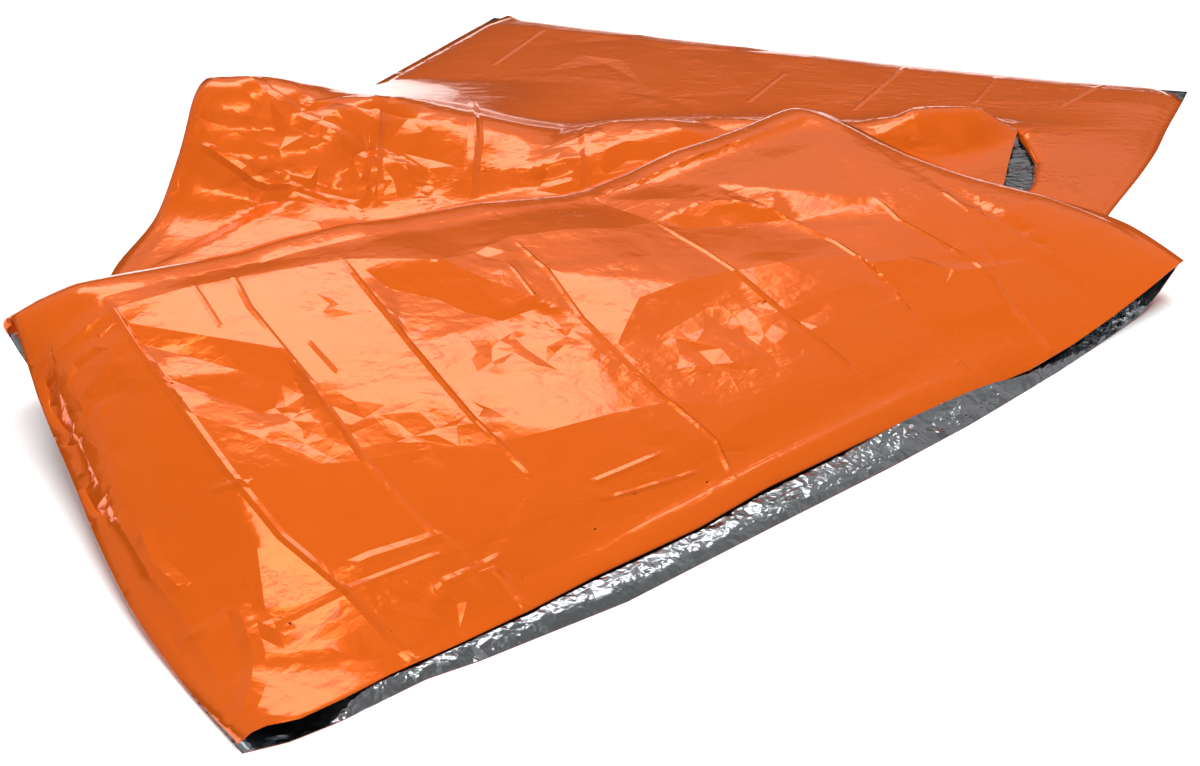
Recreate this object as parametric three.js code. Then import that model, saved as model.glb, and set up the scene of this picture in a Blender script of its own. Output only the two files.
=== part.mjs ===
// Folded bivvy bag: two film panels welded along three edges, lying on the floor in one
// back-and-forth section. The foot half lies at the back, humps up once, runs forward to a
// hidden tuck, goes back over itself to the crest and comes forward again to the open mouth.
// Millimetres, +Z up, +X along the mouth edge, -Y out of the mouth, floor at z = 0.
import * as THREE from 'three';

// Driving dimensions.
const FILM = 1.0;              // thickness of one panel
const WELD_GAP = 0.3;          // between the two panels along the welded edges
const SLIT_WIDTH = 28;         // widest part of the slit in the upper panel
const SLIT_TURN = -0.37;       // direction in which its right-hand lip stands off, radians
const EDGE_POWER = 12;         // how steeply the panels part just inside a weld
const SEAM_SHARE = 0.84;       // share of the width that lies left of the slit line
const LIP_DROP = 0.6;          // space under the right-hand lip as a share of that at the left
const EDGE_COLUMNS = [0, 0.012, 0.04];            // shares across, close beside the left weld
const LEFT_START = 0.09;                          // share where the even columns start
const LEFT_STEPS = 14;                            // even strips from there to the slit line
const RIGHT_COLUMNS = [0.3, 0.6, 0.86, 0.96, 1];  // shares from the slit line to the right weld

// One row for each section across the bag, from the foot to the mouth. left, seam and right
// are points of the lower panel (x, y, height); heights are the lower panel's heights at
// every eighth of the way from left to seam; bow moves the middle of that stretch towards
// the mouth; loft is the space between the panels, as one value or at every eighth; recede is
// how far the upper panel stops short of the lower one, at every eighth; steps is the number
// of strips up to the next row; slit is the share of SLIT_WIDTH open at the row.
const SECTIONS = [
  { name: 'foot', left: [315, 553, 0.5], seam: [642, -138, 0.5], right: [722, -260, 0.5],
    heights: [0.5, 0.5, 0.5, 0.5, 0.5, 0.5, 0.5], bow: 12, loft: 0, steps: 2, slit: 0 },
  { name: 'toe', left: [270, 530, 0.5], seam: [602, -155, 0.5], right: [682, -277, 0.5],
    heights: [0.5, 0.5, 0.5, 0.5, 0.5, 0.5, 0.5], bow: 8, loft: 8, steps: 4, slit: 0 },
  { name: 'back', left: [15, 403, 0.5], seam: [526, -188, 0.5], right: [643, -293, 0.5],
    heights: [0.5, 0.5, 0.5, 0.5, 0.5, 0.5, 0.5], bow: 0, loft: 10, steps: 3, slit: 0 },
  { name: 'rise', left: [-165, 313, 46], seam: [458, -217, 4], right: [596, -312, 0.5],
    heights: [38, 24, 7, 8, 8, 5, 8], bow: 0, loft: 8, steps: 4, slit: 0 },
  { name: 'ridge', left: [-285, 253, 98], seam: [412, -236, 9], right: [565, -325, 0.5],
    heights: [79, 55, 20, 31, 29, 17, 28], bow: 0, loft: 6, steps: 4, slit: 0 },
  { name: 'slope', left: [-350, 197, 53], seam: [367, -263, 8], right: [505, -351, 0.5],
    heights: [48, 36, 16, 20, 17, 8, 10], bow: 0, loft: 6, steps: 3, slit: 0.3 },
  { name: 'valley', left: [-403, 152, 16], seam: [322, -290, 7], right: [430, -379, 0.5],
    heights: [16, 11, 5, 6, 5, 3, 4], bow: 0, loft: 5, steps: 3, slit: 0.65 },
  { name: 'shelter', left: [-491, 76, 0.5], seam: [268, -323, 6], right: [300, -423, 0.5],
    heights: [0.5, 0.5, 0.5, 0.5, 0.5, 0.5, 2], bow: 0, loft: 5, steps: 4, slit: 1 },
  { name: 'under', left: [-594, -155, 0.5], seam: [120, -398, 0.5], right: [196, -463, 0.5],
    heights: [0.5, 0.5, 0.5, 0.5, 0.5, 0.5, 0.5], bow: 0, loft: 3, steps: 3, slit: 0 },
  { name: 'tuck_low', left: [-672, -320, 0.5], seam: [-28, -464, 0.5], right: [95, -491, 0.5],
    heights: [0.5, 0.5, 0.5, 0.5, 0.5, 0.5, 0.5], bow: 0, loft: 1.2, steps: 3, slit: 0 },
  { name: 'tuck_nose', left: [-676, -338, 9], seam: [-30, -482, 9], right: [91, -509, 9],
    heights: [9, 9, 9, 9, 9, 9, 9], bow: 0, loft: 1.2, steps: 3, slit: 0 },
  { name: 'tuck_high', left: [-671, -318, 17], seam: [-28, -462, 17], right: [96, -489, 17],
    heights: [17, 17, 17, 17, 17, 17, 17], bow: 0, loft: 1.5, steps: 5, slit: 0 },
  { name: 'turn_low', left: [-651, -119, 54], seam: [64, -118, 25], right: [198, -118, 27],
    heights: [60, 52, 52, 42, 32, 20, 22], bow: 0, loft: 3, steps: 3, slit: 0 },
  { name: 'turn_nose', left: [-653, -107, 65], seam: [64, -107, 35], right: [200, -102, 38],
    heights: [73, 64, 64, 53, 42, 28, 31], bow: 0, loft: 4, steps: 3, slit: 0 },
  { name: 'crest', left: [-653, -124, 78], seam: [64, -122, 45], right: [201, -113, 49],
    heights: [85, 75, 75, 63, 52, 37, 41], bow: 0, loft: 5, steps: 3, slit: 0 },
  { name: 'brow', left: [-669, -195, 49], seam: [64, -186, 40], right: [203, -181, 50],
    heights: [68, 60, 57, 50, 42, 34, 36], bow: 0, loft: 15, steps: 3, slit: 0 },
  { name: 'face_high', left: [-685, -270, 33], seam: [60, -275, 33], right: [189, -278, 47],
    heights: [54, 49, 44, 38, 34, 31, 31], bow: 0, loft: 18, steps: 3, slit: 0 },
  { name: 'face', left: [-701, -340, 20], seam: [58, -350, 29], right: [188, -355, 45],
    heights: [36, 34, 31, 28, 26, 26, 27], bow: 0, loft: 21, steps: 3, slit: 0 },
  { name: 'face_low', left: [-714, -410, 10], seam: [60, -432, 26], right: [198, -435, 45],
    heights: [14, 16, 18, 20, 22, 23, 24], bow: 8, loft: 22, steps: 3, slit: 0 },
  { name: 'lip_inner', left: [-722, -490, 3], seam: [50, -512, 19], right: [194, -502, 45],
    heights: [0.5, 0.5, 1, 3, 6, 11, 17], bow: 16,
    loft: [10, 16, 20, 22, 25, 26, 23, 18, 16], steps: 3, slit: 0 },
  { name: 'mouth', left: [-725, -553, 0.5], seam: [30, -578, 0.5], right: [172, -572, 37],
    heights: [0.5, 0.5, 0.5, 0.5, 0.5, 0.5, 0.5], bow: 22,
    loft: [4, 14, 10, 7, 7, 7, 7, 8, 12], recede: [0, 2, 18, 24, 26, 26, 20, 10, 4],
    steps: 0, slit: 0 },
];

// Smooth curve through equally spaced values, read at a share from 0 to 1.
function readProfile(values, share) {
  const last = values.length - 1;
  const place = Math.min(Math.max(share, 0), 1) * last;
  const cell = Math.min(Math.floor(place), last - 1);
  const t = place - cell;
  const pick = (i) => values[Math.min(Math.max(i, 0), last)];
  const [a, b, c, d] = [pick(cell - 1), pick(cell), pick(cell + 1), pick(cell + 2)];
  return b + 0.5 * t * (c - a + t * (2 * a - 5 * b + 4 * c - d + t * (3 * (b - c) + d - a)));
}

// Columns across the bag: stretch 'left' runs from the left weld to the slit line, stretch
// 'right' from there to the right weld.
const COLUMNS = [
  ...EDGE_COLUMNS.map((share) => ({ stretch: 'left', share })),
  ...Array.from({ length: LEFT_STEPS + 1 }, (_, i) =>
    ({ stretch: 'left', share: LEFT_START + (1 - LEFT_START) * i / LEFT_STEPS })),
  ...RIGHT_COLUMNS.map((share) => ({ stretch: 'right', share })),
];
const SEAM_COLUMN = COLUMNS.findIndex((column) => column.stretch === 'right') - 1;

// The lower panel's point on one section, with the space above it.
function sectionPoint(section, column) {
  const { left, seam, right, heights, bow, loft, recede = [0, 0] } = section;
  const across = column.stretch === 'left'
    ? SEAM_SHARE * column.share
    : SEAM_SHARE + (1 - SEAM_SHARE) * column.share;
  const fade = Math.sqrt(1 - Math.abs(2 * across - 1) ** EDGE_POWER);
  const leftShare = column.stretch === 'left' ? column.share : 1;
  const room = Array.isArray(loft) ? readProfile(loft, leftShare) : loft;
  const from = new THREE.Vector3(...(column.stretch === 'left' ? left : seam));
  const to = new THREE.Vector3(...(column.stretch === 'left' ? seam : right));
  const point = from.lerp(to, column.share);
  if (column.stretch === 'left') {
    point.z = readProfile([left[2], ...heights, seam[2]], column.share);
    const run = new THREE.Vector2(seam[0] - left[0], seam[1] - left[1]).normalize();
    const push = 4 * bow * column.share * (1 - column.share);
    point.x += run.y * push;
    point.y -= run.x * push;
  }
  return {
    point,
    gap: WELD_GAP + Math.max(room - WELD_GAP, 0) * fade,
    recede: readProfile(recede, leftShare) * fade,
  };
}

// Point between two sections, on a centripetal curve that stays round at the tight folds.
function alongPoint(points, index, t) {
  const p = [index - 1, index, index + 1, index + 2]
    .map((i) => points[Math.min(Math.max(i, 0), points.length - 1)]);
  const knots = [0];
  for (let i = 1; i < 4; i++) {
    knots.push(knots[i - 1] + Math.max(Math.sqrt(p[i].distanceTo(p[i - 1])), 1e-3));
  }
  const at = knots[1] + t * (knots[2] - knots[1]);
  const mix = (a, b, ka, kb) => a.clone().lerp(b, (at - ka) / (kb - ka));
  const a1 = mix(p[0], p[1], knots[0], knots[1]);
  const a2 = mix(p[1], p[2], knots[1], knots[2]);
  const a3 = mix(p[2], p[3], knots[2], knots[3]);
  const b1 = mix(a1, a2, knots[0], knots[2]);
  const b2 = mix(a2, a3, knots[1], knots[3]);
  return mix(b1, b2, knots[1], knots[2]);
}

// Grid of the lower panel's middle surface, foot to mouth, with gaps and slit openings.
function bagGrid() {
  const lines = COLUMNS.map((column) => SECTIONS.map((section) => sectionPoint(section, column)));
  const rows = [];
  SECTIONS.forEach((section, index) => {
    const count = Math.max(section.steps, 1);
    for (let step = 0; step < count; step++) {
      const t = step / count;
      const next = SECTIONS[Math.min(index + 1, SECTIONS.length - 1)];
      rows.push({
        slit: section.slit + (next.slit - section.slit) * t,
        cells: lines.map((line) => {
          const point = alongPoint(line.map((entry) => entry.point), index, t);
          point.z = Math.max(point.z, FILM / 2);
          const end = line[Math.min(index + 1, line.length - 1)];
          return {
            point,
            gap: line[index].gap + (end.gap - line[index].gap) * t,
            recede: line[index].recede + (end.recede - line[index].recede) * t,
          };
        }),
      });
    }
  });
  return rows;
}

// Vertices and quads of one panel's middle surface. The column on the slit line is doubled
// where the slit is open.
function panelSurface(rows, slitOpen) {
  const points = [];
  const gaps = [];
  const recedes = [];
  const ids = rows.map((row) => row.cells.map((cell) => {
    points.push(cell.point.clone());
    gaps.push(cell.gap);
    recedes.push(cell.recede);
    return points.length - 1;
  }));
  const farLip = rows.map((row, r) => {
    const own = ids[r][SEAM_COLUMN];
    if (!slitOpen || row.slit === 0) return own;
    const cell = row.cells[SEAM_COLUMN];
    const away = new THREE.Vector3(Math.cos(SLIT_TURN), Math.sin(SLIT_TURN), 0);
    const lip = cell.point.clone().addScaledVector(away, SLIT_WIDTH * row.slit);
    points.push(lip.setZ(row.cells[SEAM_COLUMN + 1].point.z));
    gaps.push(cell.gap * LIP_DROP);
    recedes.push(cell.recede);
    return points.length - 1;
  });
  const quads = [];
  for (let r = 0; r + 1 < rows.length; r++) {
    for (let c = 0; c + 1 < COLUMNS.length; c++) {
      const start = c === SEAM_COLUMN ? [farLip[r], farLip[r + 1]] : [ids[r][c], ids[r + 1][c]];
      quads.push([start[0], start[1], ids[r + 1][c + 1], ids[r][c + 1]]);
    }
  }
  return { points, gaps, recedes, quads };
}

// Mean normal of the quads around each vertex.
function surfaceNormals(points, quads) {
  const normals = points.map(() => new THREE.Vector3());
  quads.forEach((quad) => {
    const [a, b, c, d] = quad.map((id) => points[id]);
    const normal = c.clone().sub(a).cross(d.clone().sub(b)).normalize();
    quad.forEach((id) => normals[id].add(normal));
  });
  return normals.map((normal) => normal.normalize());
}

// Closed sheet of the film's thickness around a middle surface.
function sheetGeometry(points, quads) {
  const normals = surfaceNormals(points, quads);
  const positions = [];
  [FILM / 2, -FILM / 2].forEach((offset) => points.forEach((point, id) => {
    const placed = point.clone().addScaledVector(normals[id], offset);
    positions.push(placed.x, placed.y, placed.z);
  }));
  const under = points.length;
  const index = [];
  const edges = new Map();
  quads.forEach(([a, b, c, d]) => {
    index.push(a, b, c, a, c, d);
    index.push(under + a, under + c, under + b, under + a, under + d, under + c);
    [[a, b], [b, c], [c, d], [d, a]].forEach(([from, to]) => edges.set(`${from}_${to}`, [from, to]));
  });
  edges.forEach(([from, to]) => {
    if (edges.has(`${to}_${from}`)) return;
    index.push(to, from, under + from, to, under + from, under + to);
  });
  const geometry = new THREE.BufferGeometry();
  geometry.setAttribute('position', new THREE.Float32BufferAttribute(positions, 3));
  geometry.setIndex(index);
  geometry.computeVertexNormals();
  return geometry;
}

function lowerPanel(rows) {
  const surface = panelSurface(rows, false);
  return sheetGeometry(surface.points, surface.quads);
}

function upperPanel(rows) {
  const base = panelSurface(rows, true);
  const normals = surfaceNormals(base.points, base.quads);
  const lifted = base.points.map((point, id) =>
    point.clone().addScaledVector(normals[id], FILM + base.gaps[id]));
  lifted.forEach((point, id) => point.setY(point.y + base.recedes[id]));
  return sheetGeometry(lifted, base.quads);
}

function filmMesh(name, geometry, colour, roughness, metalness) {
  const material = new THREE.MeshStandardMaterial({ color: colour, roughness, metalness });
  const mesh = new THREE.Mesh(geometry, material);
  mesh.name = name;
  return mesh;
}

const rows = bagGrid();
const group = new THREE.Group();
group.add(filmMesh('upper_panel', upperPanel(rows), 0xe8641a, 0.32, 0.1));
group.add(filmMesh('lower_panel', lowerPanel(rows), 0xb4b8bd, 0.3, 0.9));

// The origin is under the middle of the bag's footprint.
const middle = new THREE.Box3().setFromObject(group).getCenter(new THREE.Vector3());
group.position.set(-middle.x, -middle.y, 0);

export default group;
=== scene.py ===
import bpy, math
import numpy as np
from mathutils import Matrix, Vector
from mathutils.geometry import delaunay_2d_cdt


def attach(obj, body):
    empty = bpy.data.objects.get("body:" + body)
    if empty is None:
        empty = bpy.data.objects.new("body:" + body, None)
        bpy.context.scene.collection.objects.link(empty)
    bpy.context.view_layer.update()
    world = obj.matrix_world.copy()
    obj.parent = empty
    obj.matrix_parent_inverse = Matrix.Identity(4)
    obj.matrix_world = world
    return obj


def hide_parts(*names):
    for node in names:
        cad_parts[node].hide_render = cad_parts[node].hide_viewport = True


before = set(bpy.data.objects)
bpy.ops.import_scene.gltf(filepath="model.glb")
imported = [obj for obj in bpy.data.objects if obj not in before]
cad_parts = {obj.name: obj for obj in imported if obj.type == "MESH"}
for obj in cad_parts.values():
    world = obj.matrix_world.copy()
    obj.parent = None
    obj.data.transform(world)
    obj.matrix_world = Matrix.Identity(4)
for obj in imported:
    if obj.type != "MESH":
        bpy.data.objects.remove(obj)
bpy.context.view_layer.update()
mm = 0.001
rng = np.random.default_rng(26)
print("frame loaded")

# where the frame's origin lies in the layout below, and the camera, both in millimetres
origin = np.array([1.546, 18.081, 0])
view = dict(place=(-1024, -1180, 571.1), pitch=27.5, turn=-41.5, lens=48, sensor=36)
eye = bpy.data.cameras.new("camera")
eye.lens, eye.sensor_width, eye.sensor_fit = view["lens"], view["sensor"], "HORIZONTAL"
camera = bpy.data.objects.new("camera", eye)
camera.location = (np.array(view["place"]) + origin) * mm
camera.rotation_euler = (math.radians(90 - view["pitch"]), 0, math.radians(view["turn"]))
bpy.context.scene.collection.objects.link(camera)
bpy.context.scene.camera = camera

# the bag as it lies: sections across it from foot to mouth, in millimetres. left, seam and
# right are points of the lower panel, heights are its heights at every eighth from left to seam,
# bow moves that stretch towards the mouth, loft is the space between the panels.
sections = [
    dict(name="foot", left=(315, 553, .5), seam=(642, -138, .5), right=(722, -260, .5),
         heights=[.5] * 7, bow=12, loft=0, steps=6, slit=0),
    dict(name="toe", left=(270, 530, .5), seam=(602, -155, .5), right=(682, -277, .5),
         heights=[.5] * 7, bow=8, loft=8, steps=42, slit=0),
    dict(name="back", left=(15, 403, .5), seam=(526, -188, .5), right=(643, -293, .5),
         heights=[.5] * 7, bow=0, loft=10, steps=34, slit=0),
    dict(name="rise", left=(-165, 313, 46), seam=(458, -217, 4), right=(596, -312, .5),
         heights=[38, 24, 7, 8, 8, 5, 8], bow=0, loft=8, steps=26, slit=0),
    dict(name="ridge", left=(-285, 253, 98), seam=(412, -236, 9), right=(565, -325, .5),
         heights=[79, 55, 20, 31, 29, 17, 28], bow=0, loft=6, steps=20, slit=0),
    dict(name="slope", left=(-350, 197, 53), seam=(367, -263, 8), right=(505, -351, .5),
         heights=[48, 36, 16, 20, 17, 8, 10], bow=0, loft=6, steps=16, slit=.5),
    dict(name="valley", left=(-403, 152, 16), seam=(322, -290, 7), right=(430, -379, .5),
         heights=[16, 11, 5, 6, 5, 3, 4], bow=0, loft=5, steps=24, slit=.95),
    dict(name="shelter", left=(-491, 76, .5), seam=(268, -323, 6), right=(300, -423, .5),
         heights=[.5, .5, .5, .5, .5, .5, 2], bow=0, loft=5, steps=12, slit=1),
    dict(name="under", left=(-594, -155, .5), seam=(120, -398, .5), right=(196, -463, .5),
         heights=[.5] * 7, bow=0, loft=3, steps=8, slit=0),
    dict(name="tuckLow", left=(-672, -320, .5), seam=(-28, -464, .5), right=(95, -491, .5),
         heights=[.5] * 7, bow=0, loft=1.2, steps=4, slit=0),
    dict(name="tuckNose", left=(-676, -338, 9), seam=(-30, -482, 9), right=(91, -509, 9),
         heights=[9] * 7, bow=0, loft=1.2, steps=4, slit=0),
    dict(name="tuckHigh", left=(-671, -318, 17), seam=(-28, -462, 17), right=(96, -489, 17),
         heights=[17] * 7, bow=0, loft=1.5, steps=10, slit=0),
    dict(name="turnLow", left=(-651, -119, 54), seam=(64, -118, 25), right=(198, -118, 27),
         heights=[60, 52, 52, 42, 32, 20, 22], bow=0, loft=3, steps=5, slit=0),
    dict(name="turnNose", left=(-653, -107, 65), seam=(64, -107, 35), right=(200, -102, 38),
         heights=[73, 64, 64, 53, 42, 28, 31], bow=0, loft=4, steps=6, slit=0),
    dict(name="crest", left=(-653, -124, 78), seam=(64, -122, 45), right=(201, -113, 49),
         heights=[85, 75, 75, 63, 52, 37, 41], bow=0, loft=5, steps=16, slit=0),
    dict(name="brow", left=(-669, -195, 49), seam=(64, -186, 40), right=(203, -181, 50),
         heights=[68, 60, 57, 50, 42, 34, 36], bow=0, loft=15, steps=16, slit=0),
    dict(name="faceHigh", left=(-685, -270, 33), seam=(60, -275, 33), right=(189, -278, 47),
         heights=[54, 49, 44, 38, 34, 31, 31], bow=0, loft=18, steps=15, slit=0),
    dict(name="face", left=(-701, -340, 20), seam=(58, -350, 29), right=(188, -355, 45),
         heights=[36, 34, 31, 28, 26, 26, 27], bow=0, loft=21, steps=16, slit=0),
    dict(name="faceLow", left=(-714, -410, 10), seam=(60, -432, 26), right=(198, -435, 45),
         heights=[14, 16, 18, 20, 22, 23, 24], bow=8, loft=22, steps=17, slit=0),
    dict(name="lipInner", left=(-722, -490, 3), seam=(50, -512, 19), right=(194, -502, 45),
         heights=[.5, .5, 1, 3, 6, 11, 17], bow=16,
         loft=[10, 16, 18, 18, 18, 18, 17, 15, 14], steps=15, slit=0),
    dict(name="mouth", left=(-725, -553, .5), seam=(30, -578, .5), right=(172, -572, 37),
         heights=[.5] * 7, bow=22, loft=[4, 14, 10, 7, 7, 7, 7, 8, 12], steps=0, slit=0),
]
bag = dict(
    flatSize=(.91, 2.12),                            # the flat bag, metres
    film=.3, weld=.1, fin=9, edgePower=12,           # mm: film, space in the weld, flat weld strip
    pitch=1.3,                                       # mm between the panels' middles when shut
    seamShare=.84, leftColumns=94, rightColumns=18,
    slitWidth=34, slitTurn=-.37, lipDrop=2.5,        # mm, radians: the slit's far lip
    sink=.3, lowest=.5, floorGap=.05, press=.8,      # mm, press is a share of the shut panels' gap
    cornerReach=48, cornerPull=20, cornerRun=(1, -.2),    # the upper panel lies back at the foot
)
tiny = 1e-9                                          # keeps divisions from zero


def readProfile(values, share):                      # smooth curve through equally spaced values
    values = np.asarray(values, float)
    last = len(values) - 1
    place = np.clip(share, 0, 1) * last
    cell = np.minimum(np.floor(place).astype(int), last - 1)
    t = place - cell
    a, b, c, d = (values[np.clip(cell + k, 0, last)] for k in (-1, 0, 1, 2))
    return b + .5 * t * (c - a + t * (2 * a - 5 * b + 4 * c - d + t * (3 * (b - c) + d - a)))


def sectionLine(section, left, right):               # the lower panel's points on one section
    start, seam, end = (np.array(section[k], float) for k in ("left", "seam", "right"))
    line = start + (seam - start) * left[:, None]
    line[:, 2] = readProfile([start[2], *section["heights"], seam[2]], left)
    run = (seam - start)[:2] / np.linalg.norm((seam - start)[:2])
    push = 4 * section["bow"] * left * (1 - left)
    line[:, 0] += run[1] * push
    line[:, 1] -= run[0] * push
    loft = section["loft"] if isinstance(section["loft"], list) else [section["loft"]] * 9
    room = np.append(readProfile(loft, left), np.full(len(right), float(loft[-1])))
    return np.vstack([line, seam + (end - seam) * right[:, None]]), room


def alongCurve(p, t):                                # centripetal curve from p[1] to p[2]
    knots = [np.zeros(len(p[0]))]
    for i in (1, 2, 3):
        chord = np.sqrt(np.linalg.norm(p[i] - p[i - 1], axis=1))
        knots.append(knots[-1] + np.maximum(chord, 1e-3))
    at = knots[1] + t * (knots[2] - knots[1])

    def mix(a, b, ka, kb):
        return a + (b - a) * ((at - ka) / (kb - ka))[:, None]
    a1, a2, a3 = (mix(p[i], p[i + 1], knots[i], knots[i + 1]) for i in (0, 1, 2))
    return mix(mix(a1, a2, knots[0], knots[2]), mix(a2, a3, knots[1], knots[3]), knots[1], knots[2])


def sectionNumber(name):                             # place of a section along the bag
    return [s["name"] for s in sections].index(name)


def ease(x):                                         # 0 to 1 with soft ends
    x = np.clip(x, 0, 1)
    return x * x * (3 - 2 * x)


def tableAt(table, x, column=1):                     # a column of a table by its first column
    rows = np.array(table, float)
    return np.interp(x, rows[:, 0], rows[:, column])


def gridNormals(points):                             # unit normals of a grid of points
    normal = np.cross(np.gradient(points, axis=0), np.gradient(points, axis=1))
    return normal / np.maximum(np.linalg.norm(normal, axis=2, keepdims=True), tiny)


left = np.linspace(0, 1, bag["leftColumns"] + 1)
right = np.linspace(0, 1, bag["rightColumns"] + 1)[1:]
seamColumn = len(left) - 1
across = np.append(left * bag["seamShare"], bag["seamShare"] + (1 - bag["seamShare"]) * right)
acrossMm = bag["flatSize"][0] / mm * across
edgeGap = np.minimum(acrossMm, acrossMm[-1] - acrossMm)    # mm from the nearer long edge
inside = np.clip((acrossMm - bag["fin"]) / (acrossMm[-1] - 2 * bag["fin"]), 0, 1)
parting = np.sqrt(np.clip(1 - np.abs(2 * inside - 1) ** bag["edgePower"], 0, 1))

lines = [sectionLine(s, left, right) for s in sections]
points, rooms, slits, places = [], [], [], []
for index, section in enumerate(sections):
    picks = [lines[min(max(index + k, 0), len(sections) - 1)] for k in (-1, 0, 1, 2)]
    nextSlit = sections[min(index + 1, len(sections) - 1)]["slit"]
    count = max(section["steps"], 1)
    for step in range(count):
        points.append(alongCurve([p[0] for p in picks], step / count))
        rooms.append(picks[1][1] + (picks[2][1] - picks[1][1]) * step / count)
        slits.append(section["slit"] + (nextSlit - section["slit"]) * step / count)
        places.append(index + step / count)
base, place, slitOpen = np.array(points), np.array(places), np.array(slits)
base[..., 2] = np.maximum(base[..., 2], bag["lowest"]) - bag["sink"]
shut = bag["weld"] + bag["film"]
apart = shut + (bag["pitch"] + np.array(rooms) - shut) * parting
print("bag laid out in", base.shape[0], "rows of", base.shape[1])

# measured lines that the sections only come near: height of the film's top along the ridge
# (share of its length, mm) and along the crest (x, mm), and the mouth's lips (x, y, height)
ridgeTop = [(0, 100), (.05, 98), (.10, 89), (.12, 81), (.17, 76), (.21, 71), (.31, 47), (.41, 26),
            (.48, 38), (.62, 36), (.78, 24), (.87, 36), (.94, 38), (.97, 26), (1, 20)]
crestTop = [(-653, 84), (-627, 91), (-601, 95), (-575, 93), (-509, 86), (-463, 82), (-428, 83),
            (-366, 80), (-319, 72), (-235, 64), (-140, 47), (-106, 44), (-55, 47), (11, 55),
            (114, 57), (176, 60), (201, 54)]
upperLip = [(-726, -550, 4), (-720, -550, 8), (-708, -554, 11), (-696, -562, 12), (-664, -560, 9),
            (-630, -555, 5), (-584, -558, 5), (-529, -560, 5), (-479, -559, 5), (-436, -560, 4.5),
            (-390, -561, 4), (-319, -556, 4), (-224, -557, 3.5), (-175, -558, 3), (-133, -562, 3),
            (-75, -567, 4), (-41, -573, 7), (8, -577, 14), (60, -576, 20), (90, -575, 24),
            (126, -574, 30), (151, -573, 35), (175, -573, 39)]
lowerLip = [(-726, -553, .2), (-702, -562, .2), (-672, -566, .2), (-614, -567, .2),
            (-580, -574, .2), (-532, -580, .2), (-477, -587, .2), (-353, -588, .2),
            (-230, -590, .2), (-140, -589, .2), (-98, -587, .2), (-11, -582, .2), (63, -575, .2),
            (130, -568, 3), (155, -566, 14), (172, -570, 36)]
measured = dict(ridgeLength=855, ridgeEnd=.96, ridgeFade=.05)    # mm, then shares of the ridge
strip = dict(gap=1, most=6, start=-690, fadeIn=40, end=60, fadeOut=60)    # mm, silver under the lip
spans = dict(                                        # in sections along the bag, for near below
    ridge=(3, 4, 4.01, 5.2), crest=(11, 12.6, 14.3, 15.6), strip=(19, 19.6, 30, 31),
    fore=(12.6, 14.2, 30, 31), back=(-2, -1, 7, 7.8), planes=(13.9, 14.6, 19.2, 20.01),
    lipReach=1.4, stripReach=.35)


def near(low, start, end, high):                     # 1 from start to end, 0 outside low to high
    return (ease((place - low) / (start - low)) * ease((high - place) / (high - end)))[:, None]


ridgeRow = int(np.argmin(abs(place - sectionNumber("ridge"))))
crestRow = int(np.argmin(abs(place - sectionNumber("crest"))))
chords = np.linalg.norm(np.diff(base[ridgeRow, :, :2], axis=0), axis=1)
ridgeShare = np.append(0, np.cumsum(chords)) / measured["ridgeLength"]
ridgeLift = tableAt(ridgeTop, ridgeShare) - base[ridgeRow, :, 2] - apart[ridgeRow]
ridgeLift *= ease((measured["ridgeEnd"] + measured["ridgeFade"] - ridgeShare) / measured["ridgeFade"])
crestLift = tableAt(crestTop, base[crestRow, :, 0]) - base[crestRow, :, 2] - apart[crestRow]
base[..., 2] += near(*spans["ridge"]) * ridgeLift + near(*spans["crest"]) * crestLift

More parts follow.
